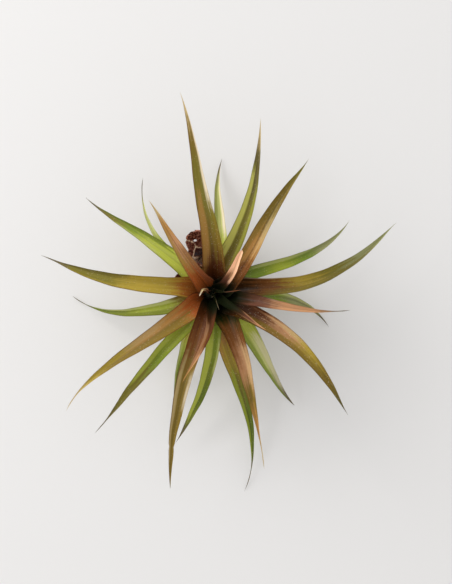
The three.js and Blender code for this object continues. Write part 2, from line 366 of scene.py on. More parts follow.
for number in range(1, LEAF_COUNT + 1):
    inner = number > GREEN_LEAVES
    node = f"leaf_{number:02d}"
    flare = FOOT_FLARE["share"] if inner and number not in SLIM_FEET else 0.0
    bends = {"fold": FOLDS.get(number, 0.0), "widths": WIDTHS.get(number), "lean": LEANS.get(number)}
    leaf = blade(f"leaf_blade_{number:02d}", node, number, flare=flare, **bends)
    leaves.append(belongs(leaf, node))
report(leaves, "leaves")

# %% [markdown]
# Three young leaves have only begun to unroll in the heart: one pale and hooked over, one a thin strip and
# one that shows only its tip. They are blades like the others, drawn out to a finer point than their shells.

# %% Three young leaves
SLIM = (0.2, 0.8, 0.85)  # how much narrower than its shell each one is at its tip
YOUNG_SEED = 40
young = []
for number, slim in enumerate(SLIM, 1):
    node = f"heart_leaf_{number:02d}"
    leaf = blade(f"young_leaf_{number:02d}", node, YOUNG_SEED + number, slim=slim)
    young.append(belongs(leaf, node))
report(young, "young leaves")

# %% [markdown]
# ## Old tissue
#
# Under the crown the stem is clothed in the stubs of dead leaves: thick, cupped scales that have cracked
# into cells with raised, pale rims round dark hollows. Sculpting each by hand would take a day. A cell noise,
# which gives every point its distance from the two nearest of many scattered centres, finds the cracks: where
# the two distances are alike, a rim is raised. How close each point is to a rim is kept on the mesh, so
# that the paint can follow the shape.

# %% Cracked cells
SEED_STEP = (3.1, 1.7, 5.3)  # how far the noise moves on from one seed to the next
RIM_WIDTH, RIM_CURVE = 0.22, 0.7  # width as a share of a cell, and how steeply its sides fall off
TONE_SCATTER = 9.7  # sets the tones of neighbouring cells far apart
GRAIN_FINER = 4  # the grain is finer than the cells by this
PLAN_RIM_MM = 1.5
PLAN_SWAY_MM, SWAY_SHIFT = 0.5, Vector((7, 3, 5))
PITS = {"depth": 1.6, "width": 0.6}  # inside planned cells, against the grain's height and the cells' size


def crumble(piece, size, sink, rough, seed, stretch=(1, 1, 1), spare=None, plan=None):
    """Sinks the cells between raised rims, roughens all, and stores both as attributes for the paint.

    plan gives listed cells instead of scattered ones: each one's tone and some points in mm, from above.
    """
    mesh = piece.data
    places = np.array([v.co for v in mesh.vertices])
    normals = np.array([v.normal for v in mesh.vertices])
    rims, tones, grain = np.empty((3, len(places)))
    shift = Vector([seed * part for part in SEED_STEP])
    scale = Vector(stretch) / size
    for i, p in enumerate(places):
        at = Vector(p) * scale + shift
        (first, second, *_), centres = noise.voronoi(at)
        grain[i] = noise.fractal(at * GRAIN_FINER, 1.0, 2.0, 4)
        rims[i] = 1 - min((second - first) / RIM_WIDTH, 1)
        tones[i] = noise.cell(centres[0] * TONE_SCATTER)
        if plan:
            sway = Vector((noise.noise(at * 2), noise.noise(at * 2 + SWAY_SHIFT)))
            swayed = Vector(p[:2] / MM) + PLAN_SWAY_MM * sway
            near = sorted((min((swayed - Vector(q)).length for q in spots), tone) for tone, *spots in plan)
            grain[i] += PITS["depth"] * (0.5 - min((second - first) / PITS["width"], 1))
            rims[i] = 1 - min((near[1][0] - near[0][0]) / PLAN_RIM_MM, 1)
            tones[i] = near[0][1]
    move = sink * (rims**RIM_CURVE - 1) + rough * grain
    if spare is not None:
        move *= spare(places)
    places += normals * move[:, None]
    mesh.vertices.foreach_set("co", places.ravel())
    for name, values in (("rim", rims), ("tone", tones * 0.5 + 0.5)):
        mesh.attributes.new(name, "FLOAT", "POINT").data.foreach_set("value", values.astype(np.float32))
    mesh.update()


# %% [markdown]
# A stub is a leaf that broke off near its foot: broad, thick, cupped and torn at the end. The same grid wraps
# round it. The lowest one leans out beyond the crown and is the only one that shows from above, so the places
# of its cells and the two bulges of its outline are given one by one.

# %% Stubs of dead leaves
STUB_COUNT, STUB_SEED = 16, 60
STUB_AROUND, STUB_ALONG = 46, 56
STUB_CUP = 1.5  # deepening of the scale's hollow
STUB_LIP = 0.8 * MM  # about the height of the rim at the margins and the end
LIP_FROM, LIP_SLOPE = 0.7, 3  # where it starts on the way there, and how steeply it rises
STUB_TORN, STUB_TEETH = 0.13, 0.4  # the most that is torn off, as a share of the length, and how jagged it is
STUB_RIPPLE, STUB_SHIFT = 0.09, 0.4  # ripple as a share of the half width, and one margin's lead on the other
STUB_FOOT = 0.02  # share of the length over which the foot rounds off
STUB_CRACKS = {"size": 3.4 * MM, "sink": 0.5 * MM, "rough": 0.12 * MM}
PLAN_CRACKS = {"size": 1.5 * MM, "sink": 0.6 * MM, "rough": 0.16 * MM}


def stub(name, node, seed, tear=1.0, swell=(), plan=None):
    """A thick cupped scale with a torn end. swell are places that bulge: (place, how far, radius) in mm."""
    sections, shares, _ = sections_of(node)
    grid, u, v = new_grid(name, STUB_AROUND, STUB_ALONG)
    side, face = across_of(u)
    torn = STUB_TORN * (0.5 + 0.5 * wave(side * STUB_TEETH, seed, 2))
    section = smooth(sections, shares, v * (1 - tear * torn))
    middle, half, depth, up = (section[:, i : i + 3] for i in (0, 3, 6, 9))
    margin = 1 + STUB_RIPPLE * wave(v + STUB_SHIFT * np.sign(side), seed, 2) * np.abs(side)
    place = middle + half * (side * margin)[:, None] + depth * (STUB_CUP * side**2)[:, None]
    lip = STUB_LIP * np.clip(np.maximum(np.abs(side), v) - LIP_FROM, 0, 1) * LIP_SLOPE * v
    place += unit(up) * lip[:, None]
    thickness = np.sqrt(np.clip(1 - side**6, 0, 1)) * np.sqrt(np.clip(1 - v**14, 0, 1))
    thickness *= np.minimum(v / STUB_FOOT, 1) ** 0.5
    place -= up * (thickness * ~face)[:, None]
    for spot, push, radius in swell:
        away = np.linalg.norm(place[:, :2] / MM - spot, axis=1) / radius
        place[:, :2] += np.exp(-(away**2))[:, None] * np.array(push) * MM
    close_up(grid, place)
    crumble(grid, seed=seed, plan=plan, **(PLAN_CRACKS if plan else STUB_CRACKS))
    return grid


LOWEST_SWELL = (((-7.8, 5.6), (-0.4, -2.4), 3.0), ((-3.6, 4.4), (-0.3, -4.0), 2.6))
LOWEST_PLAN = (
    (-0.8, (-5.2, 14.7), (-7.4, 14.2), (-4.0, 11.2)),
    (-0.2, (-8.8, 8.4), (-9.2, 6.4)),
    (0.9, (-4.5, 5.6)),
    (-1.0, (-3.6, 1.4)),
)
stubs = []
for number in range(1, STUB_COUNT + 1):
    shape = {"tear": 0.2, "swell": LOWEST_SWELL, "plan": LOWEST_PLAN} if number == 1 else {}
    node = f"old_leaf_{number:02d}"
    piece = stub(f"old_stub_{number:02d}", node, STUB_SEED + number, **shape)
    stubs.append(belongs(piece, node))
report(stubs, "stubs")

# %% [markdown]
# The lowest stub has rotted through in one spot. The faces round that spot are selected on both of its
# sides and deleted, and the two edges that are left are bridged into the wall of a hole.

# %% A hole in the lowest stub
HOLE = {"x": -6.2 * MM, "y": 11.9 * MM, "radius": 0.8 * MM}
holed = stubs[0]
bpy.context.view_layer.objects.active = holed
bpy.ops.object.mode_set(mode="EDIT")
bpy.ops.mesh.select_mode(type="FACE")
bpy.ops.mesh.select_all(action="DESELECT")
shell = bmesh.from_edit_mesh(holed.data)
for f in shell.faces:
    centre = f.calc_center_median()
    f.select_set(math.hypot(centre.x - HOLE["x"], centre.y - HOLE["y"]) < HOLE["radius"])
bmesh.update_edit_mesh(holed.data)
bpy.ops.mesh.delete(type="FACE")
bpy.ops.mesh.select_mode(type="EDGE")
bpy.ops.mesh.select_non_manifold(extend=False)
bpy.ops.mesh.bridge_edge_loops()
bpy.ops.mesh.select_all(action="SELECT")
bpy.ops.mesh.normals_make_consistent(inside=False)
bpy.ops.object.mode_set(mode="OBJECT")
shell = bmesh.new()
shell.from_mesh(holed.data)
print("open edges round the hole:", sum(not e.is_manifold for e in shell.edges))
shell.free()

# %% [markdown]
# ## The stem and its roots
#
# Stem and roots are tubes along a line. A curve with a bevel would be quicker to draw, but a grid can take an
# uneven radius and can be crumbled like the stubs.

# %% A tube along a line
LOOK_AHEAD = 0.01  # share of the length
KNOT_COUNT, KNOT_SLANT = 6, 0.1
NEVER_ALONG = (0.31, 0.95, 0.02)  # a direction that neither stem nor root follows


def tube(name, centres, radii, shares, around, along, knots, seed, lowest):
    """A closed tube along a line of centres. knots is how uneven its radius is, lowest how low it may go."""
    grid, u, v = new_grid(name, around, along)
    middle = smooth(centres, shares, v)
    before = smooth(centres, shares, np.maximum(v - LOOK_AHEAD, 0))
    after = smooth(centres, shares, np.minimum(v + LOOK_AHEAD, 1))
    ahead = unit(after - before)
    east = unit(np.cross(ahead, NEVER_ALONG))
    north = np.cross(ahead, east)
    turn = 2 * np.pi * u
    reach = np.interp(v, shares, radii) * (1 + knots * wave(v + KNOT_SLANT * np.sin(turn), seed, KNOT_COUNT))
    place = middle + reach[:, None] * (np.cos(turn)[:, None] * east + np.sin(turn)[:, None] * north)
    place[:, 2] = np.maximum(place[:, 2], lowest)
    close_up(grid, place)
    return grid


# %% [markdown]
# The stem is a leaning cone of cork with old scars round it, flat and worn where it stands. Its line runs
# through the rings of its shell, and its cells are wider than they are high. The flat underside is spared, so
# that it still stands flat.

# %% The stem
FLAT_FOOT = 0.6 * MM
FOOT_CAP = 10 / 9 * MM  # the length of line that is given to the flat underside
STEM_GRID = {"around": 72, "along": 120}
STEM_KNOTS = 0.02  # as a share of the radius
STEM_CRACKS = {"size": 2.6 * MM, "sink": 0.5 * MM, "rough": 0.25 * MM, "stretch": (1, 1, 1.8)}


def above_foot(places):
    return np.clip((places[:, 2] - FLAT_FOOT) / FLAT_FOOT, 0, 1)


top, rings = rings_of(stem_points, stem_near, around=STEM_RING)
middles = [ring.mean(axis=0) for ring in rings]
centres = np.array([middles[0]] + middles + [top])
radii = [0] + [np.linalg.norm(ring - middle, axis=1).mean() for ring, middle in zip(rings, middles)] + [0]
shares = np.cumsum([0, FOOT_CAP] + [np.linalg.norm(b - a) for a, b in zip(centres[1:], centres[2:])])
shares /= shares[-1]
stem = tube("stem_cork", centres, radii, shares, knots=STEM_KNOTS, seed=3, lowest=0, **STEM_GRID)
crumble(stem, seed=7, spare=above_foot, **STEM_CRACKS)
belongs(stem, "stem")
report([stem], "stem")

# %% [markdown]
# The roots are wiry and kinked. They hold the plant to bark in the wild, and here they lie on the table. Each
# is a tube along a few points, smoothed and then bent again from side to side.

# %% The roots
ROOT_LINES = (
    ((-5.9, -4.8, 1.4), (-9, -7.6, 0.6), (-12, -12.5, 0.55), (-10.4, -18.6, 0.55)),
    ((-2.2, -7.3, 1.4), (-3.6, -11.5, 0.6), (-1.2, -17, 0.55), (-4.8, -22, 0.55), (-3, -26, 0.55)),
    ((3.4, -6.8, 1.4), (5.4, -10.4, 0.6), (4.6, -16.5, 0.55), (8, -21.5, 0.55)),
    ((7.1, -2.6, 1.4), (11, -5, 0.6), (12.6, -10.5, 0.55), (17, -14, 0.55)),
)
ROOT_RADIUS, ROOT_TAPER = 0.48 * MM, 0.35
ROOT_KINK, ROOT_KNOTS = 0.35 * MM, 0.1
ROOT_STATIONS = 24
ROOT_REST = 0.52 * MM  # height of a resting root's middle
ROOT_FLAT = 0.02 * MM  # no point lies lower
ROOT_SPARED = 0.2 * MM  # nothing below this is roughened
ROOT_GRID = {"around": 12, "along": 110}
ROOT_CRACKS = {"size": 0.8 * MM, "sink": 0.05 * MM, "rough": 0.05 * MM}


def above_table(places):
    return places[:, 2] > ROOT_SPARED


roots = []
for number, line in enumerate(ROOT_LINES, 1):
    centres = np.array(line) * MM
    steps = np.linalg.norm(np.diff(centres, axis=0), axis=1)
    shares = np.concatenate([[0], np.cumsum(steps)]) / steps.sum()
    finer = np.linspace(0, 1, ROOT_STATIONS)
    centres = smooth(centres, shares, finer)
    centres[:, 0] += ROOT_KINK * wave(finer, number, 3) * np.sin(np.pi * finer)
    centres[:, 2] = np.maximum(centres[:, 2], ROOT_REST)
    radii = ROOT_RADIUS * (1 - ROOT_TAPER * finer)
    radii[[0, -1]] = 0
    name = f"root_wire_{number:02d}"
    root = tube(name, centres, radii, finer, knots=ROOT_KNOTS, seed=number, lowest=ROOT_FLAT, **ROOT_GRID)
    crumble(root, seed=number, spare=above_table, **ROOT_CRACKS)
    roots.append(belongs(root, f"root_{number:02d}"))
report(roots, "roots")

# %% [markdown]
# ## Paints
#
# A leaf of an air plant is never one colour. Its foot is almost black where it sits in the heart, partly
# its own dark green and partly painted shade, then it turns red-brown, gold and green on the way out, and
# it ends in a dry, straw-coloured thread. A short list of named paints keeps the twenty-five leaves one
# family.


# %% Named paints
def paint(code):
    """A colour as it is written for screens, turned into the light values that a shader works with."""
    parts = [int(code[i : i + 2], 16) / 255 for i in (1, 3, 5)]
    return tuple(c / 12.92 if c <= 0.04045 else ((c + 0.055) / 1.055) ** 2.4 for c in parts) + (1,)


CODES = {
    # the heart's dark green, which also serves as the painted shade of the heart
    "heart": "#171d0d",
    "bog": "#2a280c",
    "deep": "#2c3a12",
    "umber": "#3c240e",
    "oxblood": "#5c3012",
    "chestnut": "#7a4a20",
    "rust": "#a06226",
    "ember": "#b4602a",
    "tan": "#b88848",
    "salmon": "#c29066",
    "rose": "#9c6440",
    "mauve": "#6c4432",
    "gold": "#ac9438",
    "bronze": "#7e6826",
    "olive": "#7e742a",
    "thread": "#6e6248",
    "fern": "#606e22",
    "moss": "#727a24",
    "grass": "#74882e",
    "green": "#80902a",
    "spring": "#98a234",
    "lime": "#b0b648",
    "pear": "#c2c47c",
    "apple": "#d0cc68",
    "sage": "#989866",
    "straw": "#ccb480",
    "cream": "#ecdcc0",
    "blush": "#fcc8a0",
    "ash": "#b0a284",
    "drab": "#665c2c",
    "slate": "#4a4448",
}
PAINTS = {name: paint(code) for name, code in CODES.items()}
print(len(PAINTS), "paints")

# %% [markdown]
# ## Wiring helpers
#
# A shader is a chain of small boxes. Placing each one takes the same three lines, so short helpers place and
# wire them.


# %% Node helpers
def wire(tree, kind, inputs=None, out=0, **settings):
    """Adds a shader node, sets or links its inputs, and returns one of its outputs."""
    node = tree.nodes.new("ShaderNode" + kind)
    for name, value in settings.items():
        setattr(node, name, value)
    for key, value in (inputs or {}).items():
        if isinstance(value, bpy.types.NodeSocket):
            tree.links.new(value, node.inputs[key])
        else:
            node.inputs[key].default_value = value
    return node.outputs[out]


def calc(tree, operation, a, b=0.0):
    """A sum with one or two numbers."""
    return wire(tree, "Math", {0: a, 1: b}, operation=operation)


def scaled(tree, value, factor, offset):
    """value times factor, plus offset."""
    return wire(tree, "Math", {0: value, 1: factor, 2: offset}, operation="MULTIPLY_ADD")


def spread(tree, value, low, high, to_low, to_high):
    """Moves the range from low to high onto another range, and holds it at that range's ends."""
    return wire(tree, "MapRange", {0: value, 1: low, 2: high, 3: to_low, 4: to_high})


def times(tree, *values):
    """The product of some sockets and numbers."""
    product = values[0]
    for value in values[1:]:
        product = calc(tree, "MULTIPLY", product, value)
    return product


def reverse(tree, value):
    """1 where the value is 0, and 0 where it is 1."""
    return calc(tree, "SUBTRACT", 1.0, value)


def step(tree, value, low, high):
    """0 up to low, 1 from high, and a soft slope between them."""
    return wire(tree, "MapRange", {0: value, 1: low, 2: high}, interpolation_type="SMOOTHSTEP")


def mix(tree, share, a, b, how="MIX"):
    """Colour a, with a share of colour b over it."""
    return wire(tree, "Mix", {0: share, 6: a, 7: b}, out=2, data_type="RGBA", blend_type=how)


def over(tree, colour, top, *shares):
    """A colour with another one laid over it, as far as the product of the shares says."""
    return mix(tree, times(tree, *shares), colour, top)


FINISH = {"colours": ["Color"], "values": ["Roughness", "Height"]}
KINDS = {"colours": "NodeSocketColor", "values": "NodeSocketFloat"}
NOISE_RANGE = (0.3, 0.7)  # most values of a noise lie between these


def new_group(name, inputs, outputs=FINISH):
    """An empty shader group with named sockets, as its tree, what it is given and what it results in."""
    tree = bpy.data.node_groups.new(name, "ShaderNodeTree")
    for way, sockets in (("INPUT", inputs), ("OUTPUT", outputs)):
        for kind, names in sockets.items():
            for socket in names:
                tree.interface.new_socket(name=socket, in_out=way, socket_type=KINDS[kind])
    given = tree.nodes.new("NodeGroupInput").outputs
    result = tree.nodes.new("NodeGroupOutput").inputs
    return tree, given, result


def put_out(tree, result, sockets):
    """Links a group's results, and prints how large the group has grown."""
    for name, socket in sockets.items():
        tree.links.new(socket, result[name])
    print(f"{tree.name}: {len(tree.nodes)} nodes")


# %% [markdown]
# ## Where a point lies on a leaf
#
# All leaf patterns follow the blade. The first group turns the grid's own map into the numbers that they
# need: how far to the right of the channel a point lies, from -1 to 1 and as seen from the foot, how far
# along the leaf, whether it is on the back, and how far from the plant's middle. It also makes the long
# streaks that the veins draw in every leaf.

# %% Blade places
# the middle of the heart, from which the painted shade of the heart is measured
HEART = (6 * MM, -16.5 * MM, 0)
CLOUDS_PER_METRE = 220.0
PLACES = ("Side", "Margin", "Along", "Back", "Out", "Streak", "Vein", "Cloud")
place, given, result = new_group("blade places", {"values": ["Seed"]}, {"values": PLACES})
blade_map = wire(place, "SeparateXYZ", {0: wire(place, "UVMap", uv_map="blade")}).node
turn = calc(place, "PINGPONG", blade_map.outputs["X"], 0.5)
side = calc(place, "SINE", scaled(place, turn, -2 * math.pi, math.pi / 2))
along = calc(place, "POWER", blade_map.outputs["Y"], BUNCH)
spot = wire(place, "TexCoord", out=3)
flat_spot = wire(place, "VectorMath", {0: spot, 1: (1, 1, 0)}, operation="MULTIPLY")
out_m = wire(place, "VectorMath", {0: flat_spot, 1: HEART}, out=1, operation="DISTANCE")


def blade_noise(across, lengthwise):
    """Noise that is stretched along the leaf, by its number of patches across and along the blade."""
    stretched = {0: times(place, side, across), 1: times(place, along, lengthwise), 2: given["Seed"]}
    at = wire(place, "CombineXYZ", stretched)
    return wire(place, "TexNoise", {"Vector": at, "Scale": 1.0, "Detail": 3.0, "Roughness": 0.6})


shift = wire(place, "CombineXYZ", {0: given["Seed"]})
shifted = wire(place, "VectorMath", {0: spot, 1: shift}, operation="ADD")
cloud = {"Vector": shifted, "Scale": CLOUDS_PER_METRE, "Detail": 4.0, "Roughness": 0.65}
put_out(place, result, {
    "Side": side,
    "Margin": calc(place, "ABSOLUTE", side),
    "Along": along,
    "Back": calc(place, "GREATER_THAN", blade_map.outputs["X"], 0.5),
    "Out": times(place, out_m, 1 / MM),
    "Streak": blade_noise(5.0, 1.4),
    "Vein": blade_noise(15.0, 2.4),
    "Cloud": wire(place, "TexNoise", cloud),
})

# %% [markdown]
# ## The skin of a leaf
#
# The colour runs through six paints from foot to tip. The streaks push each border out or back, so one
# colour runs into the next in long flames, as it does where light has turned a green leaf red. On top lie a
# painted shade along the fold, and a tint on each half that starts and ends somewhere along the leaf: partly
# the half's own colour and partly painted light, as pale strips of painted highlight and darker halves of
# painted shade.

# %% Leaf skin group
STOPS = (0.13, 0.28, 0.44, 0.61, 0.77, 0.92)  # where each paint is at its fullest, as shares of the length
HALVES = {"Right": 1, "Left": -1}
FOLD_PARTS = ("place", "width", "share")
TINT_PARTS = ("share", "edge", "from", "to")
TINT_SIDEWAYS, TINT_LENGTHWISE = 0.28, 0.12  # how softly a tint begins
FLAME_REACH, PATCH_REACH = 0.30, 0.16  # how far the noises push the paints, as shares of the length
VEIN_SHADES = (0.8, 1.18)
FOLD_CORE = 0.3  # the share of the fold's width that is fully dark
# the colour by which the fold's painted shade darkens the leaf
FOLD_PAINTED_SHADE = (0.34, 0.33, 0.22, 1)

skin_colours = [f"Paint {i}" for i in range(1, len(STOPS) + 1)] + ["Margin", *HALVES]
skin_values = ["Seed", "Dark", "Dust", "Margin share"] + [f"Fold {part}" for part in FOLD_PARTS]
skin_values += [f"{half} {part}" for half in HALVES for part in TINT_PARTS]
skin, given, result = new_group("leaf skin", {"colours": skin_colours, "values": skin_values})
placed = skin.nodes.new("ShaderNodeGroup")
placed.node_tree = place
skin.links.new(given["Seed"], placed.inputs["Seed"])
spot = placed.outputs
flame = scaled(skin, spot["Streak"], FLAME_REACH, -FLAME_REACH / 2)
patch = scaled(skin, spot["Cloud"], PATCH_REACH, -PATCH_REACH / 2)
pushed = calc(skin, "ADD", spot["Along"], calc(skin, "ADD", flame, patch))
colour = given["Paint 1"]
for i in range(1, len(STOPS)):
    colour = over(skin, colour, given[f"Paint {i + 1}"], step(skin, pushed, STOPS[i - 1], STOPS[i]))
vein_shade = spread(skin, spot["Vein"], *NOISE_RANGE, *VEIN_SHADES)
grey_shade = wire(skin, "CombineColor", {0: vein_shade, 1: vein_shade, 2: vein_shade})
colour = mix(skin, 1.0, colour, grey_shade, "MULTIPLY")
# painted shade along the channel's fold, where the bottom of the channel lies in shade
off_fold = calc(skin, "ABSOLUTE", calc(skin, "SUBTRACT", spot["Side"], given["Fold place"]))
fold_core = times(skin, given["Fold width"], FOLD_CORE)
fold = reverse(skin, step(skin, off_fold, fold_core, given["Fold width"]))
deep = mix(skin, 1.0, colour, FOLD_PAINTED_SHADE, "MULTIPLY")
colour = over(skin, colour, deep, fold, given["Fold share"])
# each half's tint: partly its own colour and partly painted light, as pale strips of painted highlight and
# darker halves of painted shade
for half, sign in HALVES.items():
    reach = calc(skin, "ADD", times(skin, spot["Side"], sign), flame)
    edge = given[f"{half} edge"]
    sideways = step(skin, reach, edge, calc(skin, "ADD", edge, TINT_SIDEWAYS))
    start, end = given[f"{half} from"], given[f"{half} to"]
    rise = step(skin, pushed, start, calc(skin, "ADD", start, TINT_LENGTHWISE))
    fall = step(skin, pushed, calc(skin, "SUBTRACT", end, TINT_LENGTHWISE), end)
    lengthwise = times(skin, rise, reverse(skin, fall))
    colour = over(skin, colour, given[half], sideways, lengthwise, given[f"{half} share"])
print("leaf skin, so far:", len(skin.nodes), "nodes")

# %% [markdown]
# The last touches are the ones that tell a real leaf from a painted strip: thin margins, a pale dust of
# scales that catch the dew, a frosted back, and a painted shade near the plant's middle, in which every leaf
# sinks into the dark of the heart: partly the feet's own dark green and partly painted shade.

# %% Margins, dust, frost and shade
MARGIN_EDGE = (0.84, 0.96)  # where a margin starts and where it is complete, like each pair below
SCALES_PER_METRE = 1700.0
SCALE_EDGE, RARE_SCALES = (0.1, 0.34), (0.6, 0.9)
FROST_RANGE, FROST_SHARES = (0.35, 0.65), (0.15, 0.45)
LEAF_ROUGHNESS = (0.36, 0.52)
VEIN_HEIGHT, CLOUD_HEIGHT = 0.8, 0.3
SHADE_ENDS = 2.1  # the shade ends this many times further out than it begins
SHADE_FLAMES_MM = 20.0

edge = step(skin, spot["Margin"], *MARGIN_EDGE)
colour = over(skin, colour, given["Margin"], edge, given["Margin share"])
scales = wire(skin, "TexVoronoi", {"Vector": wire(skin, "TexCoord", out=3), "Scale": SCALES_PER_METRE}).node
fleck = reverse(skin, step(skin, scales.outputs["Distance"], *SCALE_EDGE))
rare = step(skin, wire(skin, "SeparateColor", {0: scales.outputs["Color"]}), *RARE_SCALES)
colour = over(skin, colour, PAINTS["cream"], fleck, rare, given["Dust"])
frost = spread(skin, spot["Vein"], *FROST_RANGE, *FROST_SHARES)
colour = over(skin, colour, PAINTS["ash"], spot["Back"], frost)
# painted shade of the heart: near the plant's middle every leaf sinks into the heart paint, which is partly
# the feet's own dark green and partly painted shade
out_mm = calc(skin, "ADD", spot["Out"], times(skin, flame, SHADE_FLAMES_MM))
beyond_heart_shade = step(skin, out_mm, given["Dark"], times(skin, given["Dark"], SHADE_ENDS))
put_out(skin, result, {
    "Color": over(skin, PAINTS["heart"], colour, beyond_heart_shade),
    "Roughness": spread(skin, spot["Cloud"], *NOISE_RANGE, *LEAF_ROUGHNESS),
    "Height": scaled(skin, spot["Vein"], VEIN_HEIGHT, times(skin, spot["Cloud"], CLOUD_HEIGHT)),
})

# %% [markdown]
# Every material of the plant is wired alike: a group puts out a colour, a roughness and a height, and the
# height goes through a bump. Only the values that a leaf gives to its group tell it from its neighbours.

# %% A material round a group
LEAF_BUMP = {"Strength": 0.35, "Distance": 0.2 * MM}
SEEDS_APART = 3.7  # from leaf to leaf, in patches of its patterns


def material_of(name, group_tree, values, bump, gloss):
    """A material whose colour, roughness and bumps come from a group with its own values."""
    material = bpy.data.materials.new(name)
    material.use_nodes = True
    tree = material.node_tree
    shader = tree.nodes["Principled BSDF"]
    group = tree.nodes.new("ShaderNodeGroup")
    group.node_tree = group_tree
    for key, value in values.items():
        group.inputs[key].default_value = value
    normal = wire(tree, "Bump", bump | {"Height": group.outputs["Height"]})
    tree.links.new(group.outputs["Color"], shader.inputs["Base Color"])
    tree.links.new(group.outputs["Roughness"], shader.inputs["Roughness"])
    tree.links.new(normal, shader.inputs["Normal"])
    shader.inputs["Specular IOR Level"].default_value = gloss
    return material


def leaf_material(name, seed, paints, right=None, left=None, fold=(0, 0.3, 0.35), margin=("umber", 0.55),
                  dark=6, dust=0.5, gloss=0.2):
    """paints are six names from foot to tip. right and left are tints: (paint, share, edge, from, to). Each
    is partly the half's own colour and partly painted light: pale strips of painted highlight and darker
    halves of painted shade.

    fold is the painted shade along the fold: its place, width and share. dark is how many mm out the painted
    shade of the heart reaches in full.
    """
    values = {"Seed": seed * SEEDS_APART, "Dark": dark, "Dust": dust}
    values.update({"Margin": PAINTS[margin[0]], "Margin share": margin[1]})
    values.update({f"Paint {i}": PAINTS[p] for i, p in enumerate(paints.split(), 1)})
    values.update({f"Fold {part}": value for part, value in zip(FOLD_PARTS, fold)})
    for half, tint in zip(HALVES, (right, left)):
        if tint:
            values[half] = PAINTS[tint[0]]
            values.update({f"{half} {part}": value for part, value in zip(TINT_PARTS, tint[1:])})
    return material_of(name, skin, values, LEAF_BUMP, gloss)


def paint_leaves(leaves, recipes, name, first_seed=0, **shared):
    """Gives each leaf a material of its own, from its row in the recipes."""
    for number, (leaf, recipe) in enumerate(zip(leaves, recipes), 1):
        material = leaf_material(f"{name}_{number:02d}", first_seed + number, **shared, **recipe)
        leaf.data.materials.append(material)
    print(len(recipes), "leaves painted")


print("a leaf's group takes", len(skin_colours), "colours and", len(skin_values), "values")
